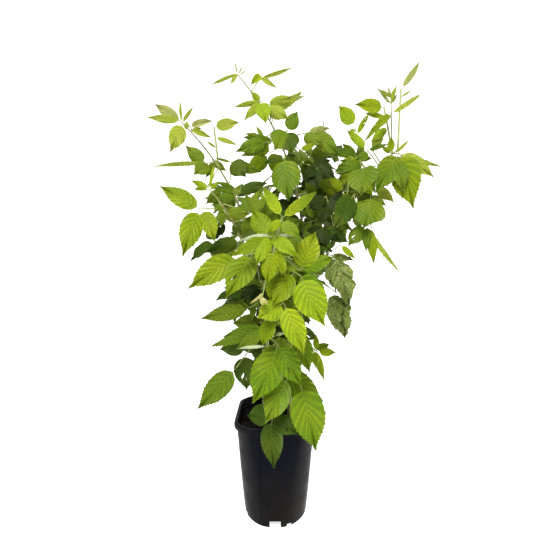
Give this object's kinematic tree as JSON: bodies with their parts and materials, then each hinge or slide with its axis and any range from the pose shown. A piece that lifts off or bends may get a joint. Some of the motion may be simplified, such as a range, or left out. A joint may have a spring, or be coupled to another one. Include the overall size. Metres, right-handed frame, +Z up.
{
  "type": "potted raspberry cane",
  "caption": "Raspberry plant in a black nursery pot: slender arching canes with toothed, pleated green leaflets on thin stems, over a slightly tapered pot.",
  "frame": {"origin": "middle of the pot's underside, on the ground", "axes": "+Z up along the pot's axis, -Y to the front of the plant, +X to its right"},
  "size_m": [0.585, 0.4419, 0.9707],
  "materials": {
    "pot_plastic": "satin black moulded plastic",
    "potting_mix": "damp, dark and crumbly",
    "cane_bark": "smooth green-brown bark with fine prickles",
    "leaf_lime": "young lime-green leaf, soft sheen",
    "leaf_green": "grown green leaf, matte with a soft sheen",
    "leaf_dark": "old dark green leaf, matte"
  },
  "bodies": {
    "root": {"pot": "pot_plastic", "growing_mix": "potting_mix", "left_cane": "cane_bark", "left_front_cane": "cane_bark", "centre_cane": "cane_bark", "right_cane": "cane_bark", "front_cane": "cane_bark", "back_cane": "cane_bark", "back_left_cane": "cane_bark", "left_tip": "leaf_lime", "left_tip_side": "leaf_lime", "left_upper": "leaf_green", "left_side": "leaf_dark", "left_heart": "leaf_dark", "left_trio": "leaf_lime", "left_front_tip": "leaf_lime", "left_front_side": "leaf_dark", "left_under": "leaf_dark", "centre_tip": "leaf_lime", "centre_upper": "leaf_green", "centre_fan": "leaf_green", "centre_fan_right": "leaf_green", "centre_broad": "leaf_green", "centre_left": "leaf_green", "front_whorl": "leaf_lime", "centre_droop": "leaf_green", "centre_right": "leaf_green", "right_heart": "leaf_green", "right_low": "leaf_green", "right_tall": "leaf_lime", "right_second": "leaf_green", "right_arch": "leaf_green", "right_lime": "leaf_lime", "right_inner": "leaf_green", "right_palmate": "leaf_green", "right_mid": "leaf_dark", "right_droop": "leaf_green", "right_hanging": "leaf_dark", "right_curled": "leaf_dark", "front_star": "leaf_lime", "front_left": "leaf_lime", "front_right": "leaf_lime", "front_mid": "leaf_lime", "front_low": "leaf_lime", "low_left_upper": "leaf_green", "low_left_round": "leaf_dark", "low_left_lone": "leaf_green", "bottom_left": "leaf_lime", "bottom_right": "leaf_lime", "bottom_mid": "leaf_lime", "pot_droop": "leaf_green", "low_sprout": "leaf_green", "crown_right": "leaf_dark", "back_top": "leaf_green", "back_right": "leaf_green", "back_middle": "leaf_dark", "back_low": "leaf_dark", "back_left_tip": "leaf_green", "back_left_side": "leaf_dark", "back_left_low": "leaf_dark"}
  },
  "joints": []
}
